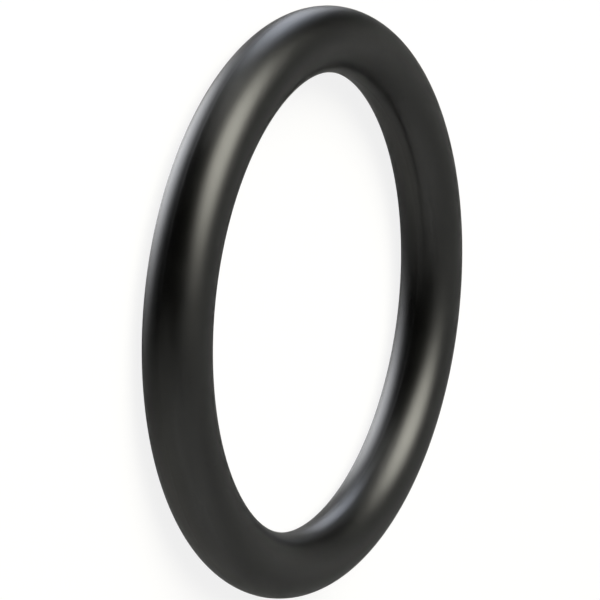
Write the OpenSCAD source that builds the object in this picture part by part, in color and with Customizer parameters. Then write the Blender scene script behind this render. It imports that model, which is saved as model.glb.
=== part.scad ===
// Rubber o-ring: one moulded piece, a round section carried once round a circle.
// It lies flat in the XY plane, with the origin at the ring's centre, half way up the section.

/* [Ring] */
// Inside diameter, across the hole
inner_d = 28; // [8:0.5:120]
// Diameter of the round section
section_d = 4; // [1.5:0.25:8]

/* [Mould line] */
// Width of the flat band that trimming the flash leaves on the equators
trim_w = 0.12; // [0.06:0.02:0.3]
// Height of that band above the round section
trim_h = 0.005; // [0.005:0.005:0.06]

/* [Look] */
// Brightness of the black rubber
rubber_shade = 0.1; // [0:0.01:0.5]
// Facets drawn once round the ring
ring_facets = 180; // [60:20:360]
// Facets drawn once round the section
section_facets = 72; // [24:12:144]

/* [Hidden] */
rubber_colour = [rubber_shade, rubber_shade, rubber_shade];
centre_r = (inner_d + section_d) / 2;

// The section as the mould halves leave it: a full circle, closed on the plane through its middle.
// The trimmed flash shows as a low flat band on the inside and on the outside of the ring.
module moulded_section() {
    circle(d = section_d, $fn = section_facets);
    square([section_d + 2 * trim_h, trim_w], center = true);
}

module o_ring() {
    color(rubber_colour)
        rotate_extrude($fn = ring_facets)
            translate([centre_r, 0])
                moulded_section();
}

o_ring();
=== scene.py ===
import math

import bpy
import numpy as np
from mathutils import Matrix, Vector


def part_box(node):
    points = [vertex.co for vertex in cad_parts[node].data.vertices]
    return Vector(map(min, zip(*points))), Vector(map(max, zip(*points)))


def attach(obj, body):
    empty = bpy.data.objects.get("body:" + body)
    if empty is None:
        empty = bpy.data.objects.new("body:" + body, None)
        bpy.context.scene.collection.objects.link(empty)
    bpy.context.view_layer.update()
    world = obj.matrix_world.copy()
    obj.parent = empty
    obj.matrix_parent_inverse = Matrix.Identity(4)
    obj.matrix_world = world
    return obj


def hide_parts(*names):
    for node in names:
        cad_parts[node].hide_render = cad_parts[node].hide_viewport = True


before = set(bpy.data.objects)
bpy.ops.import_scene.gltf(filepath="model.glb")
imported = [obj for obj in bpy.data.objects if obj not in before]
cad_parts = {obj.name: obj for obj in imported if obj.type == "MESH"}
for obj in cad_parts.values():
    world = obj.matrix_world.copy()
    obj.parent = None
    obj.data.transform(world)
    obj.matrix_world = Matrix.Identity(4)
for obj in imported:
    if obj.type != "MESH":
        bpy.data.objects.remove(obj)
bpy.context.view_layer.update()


# View settings

scene = bpy.context.scene
scene.view_settings.view_transform = "Standard"


# Camera. The ring lies flat; the camera looks down on it and is rolled until the ring stands upright
# in the picture, at the photograph's angle.

cameraView = {
    "elevation": 28.17,             # degrees above the ring's plane
    "roll": 96.65,                  # degrees the camera is turned about its own line of sight
    "distance": 0.18286,            # metres from the camera to the ring's centre, along the line of sight
    "lens": 180.96,                 # millimetres
    "sensorWidth": 36,              # millimetres
    "nearest": 0.01,                # metres; nothing closer to the camera is drawn
    "frameSize": 600,               # pixels across the picture
    "ringCentre": (314.0, 303.3),   # pixel where the ring's centre falls
}


# Unit vector from the ring out to a place in the studio. Azimuth 0 is the camera's side, 90 is +X.
def towards(azimuth, elevation):
    a, e = math.radians(azimuth), math.radians(elevation)
    return Vector((math.sin(a) * math.cos(e), -math.cos(a) * math.cos(e), math.sin(e)))


# The camera looks along its own -Z. It is shifted sideways by as many pixels as the ring's centre lies
# off the middle of the picture.
def addCamera(values):
    back = towards(0, values["elevation"])
    level = Vector((1, 0, 0))
    up = back.cross(level)
    roll = math.radians(values["roll"])
    right = level * math.cos(roll) + up * math.sin(roll)
    up = back.cross(right)
    data = bpy.data.cameras.new("camera")
    data.lens = values["lens"]
    data.sensor_width = values["sensorWidth"]
    data.clip_start = values["nearest"]
    camera = bpy.data.objects.new("camera", data)
    scene.collection.objects.link(camera)
    metresPerPixel = values["distance"] * data.sensor_width / data.lens / values["frameSize"]
    acrossPixels = values["ringCentre"][0] - values["frameSize"] / 2
    downPixels = values["ringCentre"][1] - values["frameSize"] / 2
    place = back * values["distance"] - right * acrossPixels * metresPerPixel
    place += up * downPixels * metresPerPixel
    camera.matrix_world = Matrix.Translation(place) @ Matrix((right, up, back)).transposed().to_4x4()
    scene.camera = camera


addCamera(cameraView)
print("camera set")


# Shared helpers

# A mesh from a grid of points, points[i, j] = (x, y, z), joined into quads between neighbours.
def addSurface(name, points, closeAcross=False, closeAlong=False):
    along, across = points.shape[:2]
    i = np.arange(along if closeAlong else along - 1)[:, None]
    j = np.arange(across if closeAcross else across - 1)[None, :]
    nextI = (i + 1) % along
    nextJ = (j + 1) % across
    quads = np.stack([i * across + j, nextI * across + j, nextI * across + nextJ, i * across + nextJ], -1)
    quads = quads.reshape(-1, 4)
    mesh = bpy.data.meshes.new(name)
    mesh.vertices.add(along * across)
    mesh.vertices.foreach_set("co", points.reshape(-1).astype(np.float32))
    mesh.loops.add(quads.size)
    mesh.loops.foreach_set("vertex_index", quads.reshape(-1).astype(np.int32))
    mesh.polygons.add(len(quads))
    mesh.polygons.foreach_set("loop_start", (np.arange(len(quads)) * 4).astype(np.int32))
    mesh.polygons.foreach_set("use_smooth", np.ones(len(quads), bool))
    mesh.update(calc_edges=True)
    mesh.validate()
    thing = bpy.data.objects.new(name, mesh)
    scene.collection.objects.link(thing)
    return thing


# An empty node material, with its nodes and links.
def newMaterial(name):
    material = bpy.data.materials.new(name)
    material.use_nodes = True
    material.node_tree.nodes.clear()
    return material, material.node_tree.nodes, material.node_tree.links


# Sets a socket to a number, or joins another node's output to it.
def feed(links, value, socket):
    if isinstance(value, bpy.types.NodeSocket):
        links.new(value, socket)
    else:
        socket.default_value = value


# One Math node. Each input is a number or another node's output; the result is an output.
def addMath(nodes, links, operation, *inputs):
    node = nodes.new("ShaderNodeMath")
    node.operation = operation
    for socket, value in zip(node.inputs, inputs):
        feed(links, value, socket)
    return node.outputs[0]


# Carries a value from one range to another and holds it at both ends.
def addMapRange(nodes, links, value, fromRange, toRange=(0, 1), interpolation="LINEAR"):
    node = nodes.new("ShaderNodeMapRange")
    node.interpolation_type = interpolation
    node.inputs["From Min"].default_value, node.inputs["From Max"].default_value = fromRange
    node.inputs["To Min"].default_value, node.inputs["To Max"].default_value = toRange
    links.new(value, node.inputs["Value"])
    return node.outputs[0]


# A shader that fades from the first to the second as the factor goes from 0 to 1.
def addMixShader(nodes, links, factor, first, second):
    node = nodes.new("ShaderNodeMixShader")
    for socket, value in zip(node.inputs, (factor, first, second)):
        feed(links, value, socket)
    return node.outputs[0]


def addMatt(nodes, colour):
    node = nodes.new("ShaderNodeBsdfDiffuse")
    node.inputs["Color"].default_value = (*colour, 1)
    return node.outputs[0]


# 1 for what the camera, a reflection or a clear material sees, and 0 for light on matt surfaces.
def addSeenFactor(nodes, links):
    path = nodes.new("ShaderNodeLightPath")
    seen = addMath(nodes, links, "MAXIMUM", path.outputs["Is Camera Ray"], path.outputs["Is Glossy Ray"])
    return addMath(nodes, links, "MAXIMUM", seen, path.outputs["Is Transmission Ray"])


# Rubber ring

ringShape = {
    "trimHeight": 0.005e-3,   # how far the mould line's flat band stands proud of the round section
    "trimWidth": 0.12e-3,     # width of that band, on the inside and on the outside of the ring
    "shoulder": 0.03e-3,      # width of the slope beside the band
    "gathering": 0.8,         # how closely grid lines gather at the band, 0 to 1
    "stepsRound": 480,
    "stepsSection": 160,
}


# A circle of the section's radius carried round the ring, as a grid of points.
# Section angle v = t - g/2 sin 2t gathers the grid lines at both bands. The distance out from the
# section's centre is r cos v, plus or minus the band: its height where |z| is under half its width,
# then a smooth fall to nothing over the shoulder. The point is turned by u about Z.
def ringPoints(values, high):
    sectionRadius = high.z
    ringRadius = high.x - values["trimHeight"] - sectionRadius
    u = np.arange(values["stepsRound"]) * 2 * np.pi / values["stepsRound"]
    t = np.arange(values["stepsSection"]) * 2 * np.pi / values["stepsSection"]
    v = t - values["gathering"] / 2 * np.sin(2 * t)
    z = sectionRadius * np.sin(v)
    fall = np.clip((np.abs(z) - values["trimWidth"] / 2) / values["shoulder"], 0, 1)
    band = values["trimHeight"] * (1 - fall * fall * (3 - 2 * fall))
    out = ringRadius + sectionRadius * np.cos(v) + np.sign(np.cos(v)) * band
    return np.stack([np.cos(u)[:, None] * out, np.sin(u)[:, None] * out, np.tile(z, (len(u), 1))], -1)


rubber = {
    "colour": (0.0004, 0.0004, 0.0004),     # black of the rubber
    "bloom": (0.001, 0.001, 0.001),         # where a trace of wax has come to the surface
    "bloomSize": 2.5e-3,                    # metres across a patch of it
    "bloomDetail": 4,                       # finer layers in the patches
    "bloomRange": (0.35, 0.65),             # noise levels between which the wax comes in
    "roughness": 0.305,
    "roughnessSpread": 0.04,                # how far patches differ
    "fineSpread": 0.05,                     # how far the finest grain differs
    "bandRoughness": 0.03,                  # what trimming adds on the mould line
    "ior": 1.55,
    "grainSize": 0.045e-3,                  # metres across a grain of the mould's finish
    "grainHeight": 2.0,                     # micrometres
    "grainDetail": 2,                       # finer layers in the grain
    "toolMarkWidth": 0.11e-3,               # metres across a turning mark copied from the mould
    "toolMarkLength": 5e-3,                 # metres along it
    "toolMarkHeight": 1.3,                  # micrometres
    "toolMarkDetail": 2,                    # finer layers in the marks
}
micrometre = 1e-6


# Noise over the surface. The vector is already scaled, so one unit is one patch. A turn is a fourth
# coordinate.
def addNoise(nodes, links, vector, detail, turn=None):
    noise = nodes.new("ShaderNodeTexNoise")
    noise.inputs["Scale"].default_value = 1
    noise.inputs["Detail"].default_value = detail
    links.new(vector, noise.inputs["Vector"])
    if turn is not None:
        noise.noise_dimensions = "4D"
        links.new(turn, noise.inputs["W"])
    return noise.outputs["Fac"]


# A place counted in patches of the given size.
def addScaled(nodes, links, vector, size):
    scaled = nodes.new("ShaderNodeVectorMath")
    scaled.operation = "SCALE"
    scaled.inputs["Scale"].default_value = 1 / size
    links.new(vector, scaled.inputs[0])
    return scaled.outputs[0]


# Marks that run round the ring, as a lathe leaves them in the mould: noise that changes fast with the
# distance out from the axis and with height, and slowly with the place round the ring. That place goes
# in as its cosine and sine, so the marks close on themselves.
def addToolMarks(nodes, links, vector, values, ringRadius):
    parts = nodes.new("ShaderNodeSeparateXYZ")
    links.new(vector, parts.inputs[0])
    x, y, z = parts.outputs
    squares = [addMath(nodes, links, "MULTIPLY", side, side) for side in (x, y)]
    out = addMath(nodes, links, "SQRT", addMath(nodes, links, "ADD", *squares))
    alongScale = ringRadius / values["toolMarkLength"]
    cosine = addMath(nodes, links, "MULTIPLY", addMath(nodes, links, "DIVIDE", x, out), alongScale)
    sine = addMath(nodes, links, "MULTIPLY", addMath(nodes, links, "DIVIDE", y, out), alongScale)
    place = nodes.new("ShaderNodeCombineXYZ")
    links.new(addMath(nodes, links, "DIVIDE", out, values["toolMarkWidth"]), place.inputs[0])
    links.new(addMath(nodes, links, "DIVIDE", z, values["toolMarkWidth"]), place.inputs[1])
    links.new(cosine, place.inputs[2])
    return addNoise(nodes, links, place.outputs[0], values["toolMarkDetail"], sine), z


# Black rubber as the mould leaves it: satin, with fine grain, faint turning marks, a patchy trace of
# wax, and a slightly duller mould line.
def rubberMaterial(values, shape, ringRadius):
    material, nodes, links = newMaterial("blackRubber")
    output = nodes.new("ShaderNodeOutputMaterial")
    shader = nodes.new("ShaderNodeBsdfPrincipled")
    shader.inputs["IOR"].default_value = values["ior"]
    links.new(shader.outputs[0], output.inputs[0])
    place = nodes.new("ShaderNodeTexCoord").outputs["Object"]

    bloomPlace = addScaled(nodes, links, place, values["bloomSize"])
    grainPlace = addScaled(nodes, links, place, values["grainSize"])
    patches = addNoise(nodes, links, bloomPlace, values["bloomDetail"])
    grain = addNoise(nodes, links, grainPlace, values["grainDetail"])
    marks, z = addToolMarks(nodes, links, place, values, ringRadius)

    colour = nodes.new("ShaderNodeMix")     # as a colour mix it reads inputs 6 and 7 and fills output 2
    colour.data_type = "RGBA"
    colour.inputs[6].default_value = (*values["colour"], 1)
    colour.inputs[7].default_value = (*values["bloom"], 1)
    links.new(addMapRange(nodes, links, patches, values["bloomRange"]), colour.inputs[0])
    links.new(colour.outputs[2], shader.inputs["Base Color"])

    bandEdge = shape["trimWidth"] / 2
    band = addMapRange(nodes, links, addMath(nodes, links, "ABSOLUTE", z),
                       (bandEdge, bandEdge + shape["shoulder"]), (values["bandRoughness"], 0), "SMOOTHSTEP")
    patchy = addMath(nodes, links, "MULTIPLY_ADD", patches, values["roughnessSpread"] * 2,
                     values["roughness"] - values["roughnessSpread"] - values["fineSpread"])
    fine = addMath(nodes, links, "MULTIPLY_ADD", grain, values["fineSpread"] * 2, patchy)
    links.new(addMath(nodes, links, "ADD", fine, band), shader.inputs["Roughness"])

    height = addMath(nodes, links, "MULTIPLY", grain, values["grainHeight"])
    height = addMath(nodes, links, "MULTIPLY_ADD", marks, values["toolMarkHeight"], height)
    bump = nodes.new("ShaderNodeBump")
    bump.inputs["Distance"].default_value = micrometre
    links.new(height, bump.inputs["Height"])
    links.new(bump.outputs[0], shader.inputs["Normal"])
    return material


ringLow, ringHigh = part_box("o_ring")
ring = addSurface("o_ring_surface", ringPoints(ringShape, ringHigh), closeAcross=True, closeAlong=True)
ring.data.materials.append(rubberMaterial(rubber, ringShape, ringHigh.x - ringHigh.z))
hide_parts("o_ring")
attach(ring, "root")
print("ring made:", len(ring.data.polygons) * 2, "triangles")


# Floor

floorLook = {
    "reach": 3.0,                   # metres from the ring to each edge
    "colour": (0.8, 0.8, 0.8),      # what lights the ring
    "seen": (1.0, 1.0, 1.0),        # what the camera sees
    "glow": 0.85,                   # share of plain white in what the camera sees; the rest is lit
}


# A pale sheet under the ring. It looks white, keeps the ring's soft shadow, and lights the ring as plain
# pale paper would. Some softboxes stand lower than it, so it neither shades nor mirrors.
def addFloor(values, height):
    side = np.array([-values["reach"], values["reach"]])
    x, y = np.meshgrid(side, side, indexing="ij")
    floor = addSurface("floor", np.stack([x, y, np.full_like(x, height)], -1))
    material, nodes, links = newMaterial("palePaper")
    output = nodes.new("ShaderNodeOutputMaterial")
    glow = nodes.new("ShaderNodeEmission")
    glow.inputs["Strength"].default_value = 1
    paper = addMatt(nodes, values["colour"])
    shown = addMixShader(nodes, links, values["glow"], addMatt(nodes, values["seen"]), glow.outputs[0])
    choice = addMixShader(nodes, links, addSeenFactor(nodes, links), paper, shown)
    links.new(choice, output.inputs[0])
    floor.data.materials.append(material)
    floor.visible_glossy = False
    floor.visible_shadow = False


addFloor(floorLook, ringLow.z)
print("floor laid")


# Studio light. Angles are degrees, in the directions that things have from the ring.

# Softboxes. Brightness counts white paper in plain light as 1.
softboxes = {
    "key": {"azimuth": -71, "elevation": 49, "halfAngle": 23, "softness": 4.5,
            "brightness": 8.3, "colour": (1.0, 0.98, 0.86)},
    "rim": {"azimuth": -90, "elevation": -65, "halfAngle": 19, "softness": 4.5,
            "brightness": 4.55, "colour": (0.93, 0.95, 1.0)},
    "low": {"azimuth": -113, "elevation": -16, "halfAngle": 13, "softness": 4,
            "brightness": 3.35, "colour": (0.81, 0.87, 1.0)},
    "lowBack": {"azimuth": -134, "elevation": -22, "halfAngle": 11, "softness": 1.5,
                "brightness": 1.6, "colour": (0.89, 0.92, 1.0)},
    "under": {"azimuth": -143, "elevation": -63, "halfAngle": 12, "softness": 2.5,
              "brightness": 1.9, "colour": (1.0, 1.0, 1.0)},
    "behind": {"azimuth": -170, "elevation": -49, "halfAngle": 5, "softness": 1,
               "brightness": 2.55, "colour": (0.92, 0.95, 1.0)},
    "left": {"azimuth": -70, "elevation": -1, "halfAngle": 17, "softness": 1,
             "brightness": 0.75, "colour": (1.0, 1.0, 0.94)},
    "right": {"azimuth": 43, "elevation": -7, "halfAngle": 29, "softness": 3,
              "brightness": 0.35, "colour": (1.0, 1.0, 0.94)},
    "rightLow": {"azimuth": 78, "elevation": -27, "halfAngle": 24, "softness": 6.5,
                 "brightness": 0.25, "colour": (1.0, 0.97, 0.84)},
}
softboxSetup = {
    "distance": 1.0,        # metres from the ring
    "reach": 4,             # how many times its softness a softbox reaches past its half angle
}

# Grey cards that hold back the white surroundings; darkness 1 is black.
cards = {
    "front": {"azimuth": -14, "elevation": -9, "halfAngle": 54, "darkness": 1.0},
    "side": {"azimuth": -125, "elevation": 4, "halfAngle": 27, "darkness": 0.99},
    "right": {"azimuth": 47, "elevation": -7, "halfAngle": 27, "darkness": 0.65},
    "back": {"azimuth": 174, "elevation": 26, "halfAngle": 54, "darkness": 0.38},
    "backHigh": {"azimuth": -149, "elevation": 34, "halfAngle": 13, "darkness": 0.49},
    "backLow": {"azimuth": 150, "elevation": -32, "halfAngle": 28, "darkness": 0.28},
    "behindLow": {"azimuth": 175, "elevation": -53, "halfAngle": 8, "darkness": 1.0},
    "leftLow": {"azimuth": -74, "elevation": -69, "halfAngle": 48, "darkness": 0.41},
    "below": {"azimuth": 147, "elevation": -54, "halfAngle": 79, "darkness": 0.54},
    "belowWide": {"azimuth": 0, "elevation": -90, "halfAngle": 77, "darkness": 0.26},
    "top": {"azimuth": -17, "elevation": 58, "halfAngle": 43, "darkness": 0.49},
    "topWide": {"azimuth": -92, "elevation": 84, "halfAngle": 85, "darkness": 0.25},
}
cardSetup = {
    "edge": 5,              # degrees; how softly a card fades at its rim
    "reach": 5,             # how many edges a card reaches past its half angle
    "distance": 1.5,        # metres from the ring to the first card
    "step": 0.05,           # metres that each next card stands behind the one before
    "middle": 0.01,         # degrees from the middle to the first grid line
    "stepsOut": 80,
    "stepsRound": 72,
}

surroundings = {
    "seen": (1.0, 1.0, 0.95),       # what the camera and reflections see: white
    "light": 0.12,                  # what lights matt surfaces
}


# A round area light that faces the ring and fades at its rim. A disc of radius r shines with its energy
# divided by the square of pi r. At angle a from the middle, seen from the ring, the light is the full
# brightness divided by 1 + e to the power (a - half angle) / softness. Parametric gives the place on the
# disc, 0 to 1 each way.
def addSoftbox(name, values, setup):
    half = math.radians(values["halfAngle"])
    softness = math.radians(values["softness"])
    rim = math.tan(half + setup["reach"] * softness)
    data = bpy.data.lights.new(name, "AREA")
    data.shape = "DISK"
    data.size = 2 * rim * setup["distance"]
    data.energy = values["brightness"] * (math.pi * rim * setup["distance"]) ** 2
    data.color = values["colour"]
    data.use_nodes = True
    nodes, links = data.node_tree.nodes, data.node_tree.links
    nodes.clear()
    output = nodes.new("ShaderNodeOutputLight")
    emission = nodes.new("ShaderNodeEmission")
    fromMiddle = nodes.new("ShaderNodeVectorMath")
    fromMiddle.operation = "DISTANCE"
    fromMiddle.inputs[1].default_value = (0.5, 0.5, 0)
    links.new(nodes.new("ShaderNodeNewGeometry").outputs["Parametric"], fromMiddle.inputs[0])
    slope = addMath(nodes, links, "MULTIPLY", fromMiddle.outputs["Value"], 2 * rim)
    past = addMath(nodes, links, "SUBTRACT", addMath(nodes, links, "ARCTANGENT", slope), half)
    power = addMath(nodes, links, "EXPONENT", addMath(nodes, links, "DIVIDE", past, softness))
    share = addMath(nodes, links, "DIVIDE", 1, addMath(nodes, links, "ADD", power, 1))
    links.new(share, emission.inputs["Strength"])
    links.new(emission.outputs[0], output.inputs[0])
    lamp = bpy.data.objects.new(name, data)
    scene.collection.objects.link(lamp)
    out = towards(values["azimuth"], values["elevation"])
    lamp.location = out * setup["distance"]
    lamp.rotation_euler = out.to_track_quat("Z", "Y").to_euler()
    lamp.visible_camera = False


# A grey card, curved round the ring, that only reflections see. It is part of a sphere: a point at
# angle a from its middle and turn b about it is middle cos a + (side cos b + up sin b) sin a. Its cover
# falls from its darkness to nothing as 1 / (1 + e to the power (a - half angle) / edge).
def addCard(name, values, setup, distance):
    middle = towards(values["azimuth"], values["elevation"])
    side = middle.orthogonal().normalized()
    up = middle.cross(side)
    rim = values["halfAngle"] + setup["reach"] * setup["edge"]
    away = np.linspace(setup["middle"], rim, setup["stepsOut"])[None, :, None]
    turn = np.linspace(0, 2 * np.pi, setup["stepsRound"], endpoint=False)[:, None, None]
    spread = np.array(side) * np.cos(turn) + np.array(up) * np.sin(turn)
    points = np.array(middle) * np.cos(np.radians(away)) + spread * np.sin(np.radians(away))
    card = addSurface("card_" + name, points * distance, closeAlong=True)
    cover = values["darkness"] / (1 + np.exp((away - values["halfAngle"]) / setup["edge"])) + 0 * turn
    card.data.attributes.new("cover", "FLOAT", "POINT")
    card.data.attributes["cover"].data.foreach_set("value", cover.reshape(-1).astype(np.float32))
    material, nodes, links = newMaterial("card_" + name)
    output = nodes.new("ShaderNodeOutputMaterial")
    amount = nodes.new("ShaderNodeAttribute")
    amount.attribute_name = "cover"
    clear = nodes.new("ShaderNodeBsdfTransparent")
    black = addMatt(nodes, (0, 0, 0))
    links.new(addMixShader(nodes, links, amount.outputs["Fac"], clear.outputs[0], black), output.inputs[0])
    card.data.materials.append(material)
    card.visible_camera = False
    card.visible_diffuse = False
    card.visible_transmission = False
    card.visible_shadow = False


# White for the camera and for reflections, and a faint even light on matt surfaces.
def addSurroundings(values):
    world = bpy.data.worlds.new("studio")
    scene.world = world
    world.use_nodes = True
    world.cycles.sampling_method = "NONE"       # it is the same all round, so no side needs more rays
    nodes, links = world.node_tree.nodes, world.node_tree.links
    nodes.clear()
    output = nodes.new("ShaderNodeOutputWorld")
    light = nodes.new("ShaderNodeBackground")
    light.inputs["Strength"].default_value = values["light"]
    white = nodes.new("ShaderNodeBackground")
    white.inputs["Color"].default_value = (*values["seen"], 1)
    mix = addMixShader(nodes, links, addSeenFactor(nodes, links), light.outputs[0], white.outputs[0])
    links.new(mix, output.inputs[0])


for name, values in softboxes.items():
    addSoftbox(name, values, softboxSetup)
for count, (name, values) in enumerate(cards.items()):
    addCard(name, values, cardSetup, cardSetup["distance"] + cardSetup["step"] * count)
addSurroundings(surroundings)
print("studio lit")
